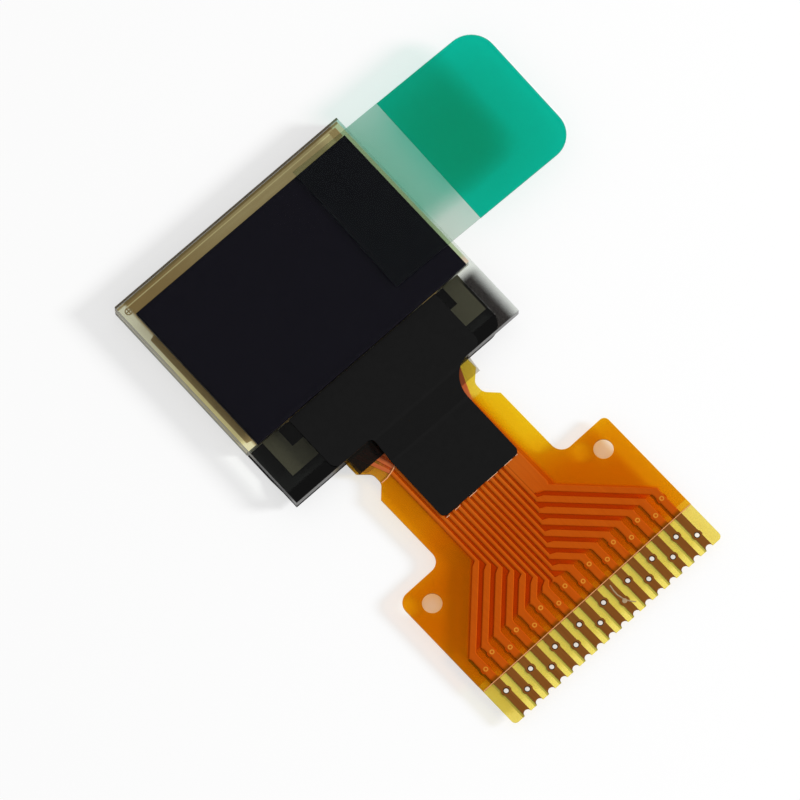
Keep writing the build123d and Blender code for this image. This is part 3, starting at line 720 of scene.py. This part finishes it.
form = bmesh.new()
for number in range(conductor_count):
    wide = number == conductor_count - 1
    lane = wide_lane_middle if wide else first_lane + number * lane_pitch
    half = wide_lane_half if wide else lane_half
    finger = finger_middle(number)
    shift = finger - lane
    fan_start = finger_start - abs(shift)
    widening = min(fan_taper / abs(shift), 0.5)
    run_bar(
        form,
        [
            crown_section(lane, lane_start, half),
            crown_section(lane, fan_start, half),
            crown_section(lane + shift * widening, fan_start + abs(shift) * widening, fan_half),
            crown_section(finger, finger_start, fan_half),
            crown_section(finger, finger_start + fan_taper, finger_half),
            crown_section(finger, coverlay_end, finger_half),
        ],
    )
new_piece("conductor_crowns", form, copper, "copper")

# Lips of the plated holes: the plating stands a little proud of the finger, coloured near black.
# The holes stand in two rows, and the tenth finger has none.
hole_radius = 0.10
lip_width = 0.032
lip_height = 0.005 * mm
upper_hole = 11.14
lower_hole = 11.66
clogged_finger = 9
ring_steps = 24


def spun_rim(form, across, station, foot, radius, width, height):
    """Spins a rim of triangular section round a place on the tail."""
    section = [
        tail_place(across + radius, station, foot),
        tail_place(across + radius + width, station, foot),
        tail_place(across + radius + width / 2, station, foot + height),
    ]
    ring = [form.verts.new(corner) for corner in section]
    edges = [form.edges.new((ring[place - 1], ring[place])) for place in range(len(ring))]
    bmesh.ops.spin(
        form,
        geom=[*ring, *edges],
        cent=tail_place(across, station, foot),
        axis=(0, 0, 1),
        angle=tau,
        steps=ring_steps,
        use_merge=True,
    )


form = bmesh.new()
for number in range(conductor_count):
    if number != clogged_finger:
        across = finger_middle(number)
        station = upper_hole if number % 2 == 0 else lower_hole
        spun_rim(form, across, station, crown_foot, hole_radius, lip_width, lip_height)
lip_metal = plain_material("dark_plating", "#1c0c02", "#301a08", scale=20.0, roughness=0.35)
new_piece("hole_lips", form, lip_metal, "copper")

# Rims of the plated posts under the coverlay: copper, plated up a little proud of the finger. Each
# is coloured a pale pink, a painted highlight that shows as a small bright ring.
upper_post = 9.60
lower_post = 9.95
rim_radius = 0.055
rim_width = 0.045
rim_height = 0.0035 * mm
rim_foot = crown_foot + 0.0203 * mm

form = bmesh.new()
for number in range(conductor_count):
    across = finger_middle(number)
    station = lower_post if number % 2 == 0 else upper_post
    spun_rim(form, across, station, rim_foot, rim_radius, rim_width, rim_height)
# Painted highlight: the rims are coloured far paler than the copper.
rim_highlight_metal = plain_material(
    "plating_painted_highlight", "#ffb890", "#ffd0b0", scale=20.0, roughness=0.3, metallic=0.3
)
new_piece("post_rims", form, rim_highlight_metal, "copper")

# Lips of the front coverlay: its adhesive squeezed out a little at both ends. They are coloured
# pale, a painted highlight that shows as a fine line. The upper one swings up over the copper at
# the left of the tape.
coverlay_top = crown_foot + 0.025 * mm
end_lip = ((-5.66, 10.555), (-2.0, 10.555), (2.0, 10.555), (5.66, 10.555))
end_lip_width = 0.035
end_lip_height = 0.008 * mm
swing = ((-2.78, 1.50), (-2.50, 1.50), (-2.20, 1.44), (-1.92, 1.35))
swing_width = 0.05
swing_height = 0.015 * mm


def run_bead(form, course, width, height):
    """Lays a thin bead of triangular section along a course on the coverlay."""
    sections = []
    for across, station in course:
        stations = (station - width / 2, station + width / 2)
        feet = [tail_place(across, foot, coverlay_top) for foot in stations]
        sections.append([*feet, tail_place(across, station, coverlay_top + height)])
    run_bar(form, sections)


form = bmesh.new()
run_bead(form, end_lip, end_lip_width, end_lip_height)
run_bead(form, swing, swing_width, swing_height)
# The pale colour is a painted highlight on the squeezed-out adhesive.
lip_glue_highlight = plain_material(
    "squeezed_adhesive_highlight", "#d88c50", "#e8a878", scale=6.0, roughness=0.2, specular=0.6
)
new_piece("coverlay_lips", form, lip_glue_highlight, "coverlay")

# Scar on the tenth finger: a shiny curl of scraped metal that runs down the finger, with the
# lump of it that has filled the finger's hole.
curl = ((1.00, 10.80), (0.955, 11.05), (0.95, 11.30), (1.02, 11.60), (1.15, 11.82), (1.30, 12.00))
curl_half = 0.028
curl_height = 0.014 * mm
plug_radius = 0.105 * mm
plug_flatness = 0.16

form = bmesh.new()
sections = []
for across, station in curl:
    feet = [tail_place(x, station, crown_foot) for x in (across - curl_half, across + curl_half)]
    sections.append([*feet, tail_place(across, station, crown_foot + curl_height)])
run_bar(form, sections)
plug = bmesh.ops.create_uvsphere(form, u_segments=20, v_segments=10, radius=plug_radius)["verts"]
bmesh.ops.scale(form, vec=(1.0, 1.0, plug_flatness), verts=plug)
plug_place = tail_place(finger_middle(clogged_finger), lower_hole, crown_foot)
bmesh.ops.translate(form, vec=plug_place, verts=plug)
scraped = plain_material(
    "scraped_metal", "#a88458", "#d8c09c", scale=12.0, roughness=0.25, metallic=0.3
)
new_piece("finger_scar", form, scraped, "copper")

# Tapes: black adhesive tape with a matt backing. One piece is stuck over the ledge and the root
# of the tail in front, and another across the ledge behind.
tape_grain = 0.004
# The slope colour is a painted shade: where the tape drapes down from the glass it faces the lamp,
# and is painted darker so that it shows as even black.
black_tape = plain_material(
    "black_tape",
    "#181818",
    "#1c1c1c",
    scale=4.0,
    roughness=0.6,
    specular=0.04,
    bump=tape_grain,
    painted_slope_shade="#131313",
)
dress(black_tape, "front_tape", "rear_tape")

# Glue of the front tape: it is squeezed out at the tape's lower end. Its pale colour is a painted
# highlight, which shows as a broken pale line.
glue_station = 4.325
glue_runs = (
    (-1.86, -1.70),
    (-1.40, -1.12),
    (-0.62, -0.20),
    (0.35, 0.92),
    (1.30, 1.72),
    (1.90, 2.02),
)
glue_width = 0.03
glue_height = 0.03 * mm

form = bmesh.new()
for ends in glue_runs:
    run_bead(form, [(across, glue_station) for across in ends], glue_width, glue_height)
# Painted highlight: the glue dashes are coloured pale where they catch the light.
tape_glue_highlight = plain_material("tape_glue_highlight", "#b8885c", "#ecd0b0", scale=14.0, roughness=0.3)
new_piece("tape_glue_highlight", form, tape_glue_highlight, "black_tape")

# Glue bead: clear resin along the root of the tail. Its tint is painted dark, a painted shade
# over most of its length, and clear at its right end, which stands free.
free_end = (1.0, 2.4)


def resin_finish(tree):
    """Painted dark for shade along most of the bead, and clear at the right end."""
    parts = add_node(tree, "ShaderNodeSeparateXYZ", inputs=(place_in_mm(tree),))
    way_right = (parts.outputs["X"], *free_end)
    out_of_painted_shade = add_node(tree, "ShaderNodeMapRange", soft_step, way_right)
    # Painted shade: the tint is dark over most of the bead and clears towards its right end.
    tint = add_node(tree, "ShaderNodeMix", colour_mix, {0: out_of_painted_shade, 6: "#6c6258", 7: "#f0ece0"})
    return tint, "#2a2622", 0.25


clear_resin = film_material("clear_resin", resin_finish, roughness=0.05, edge_colour="#2a2622")
dress(clear_resin, "glue_bead")
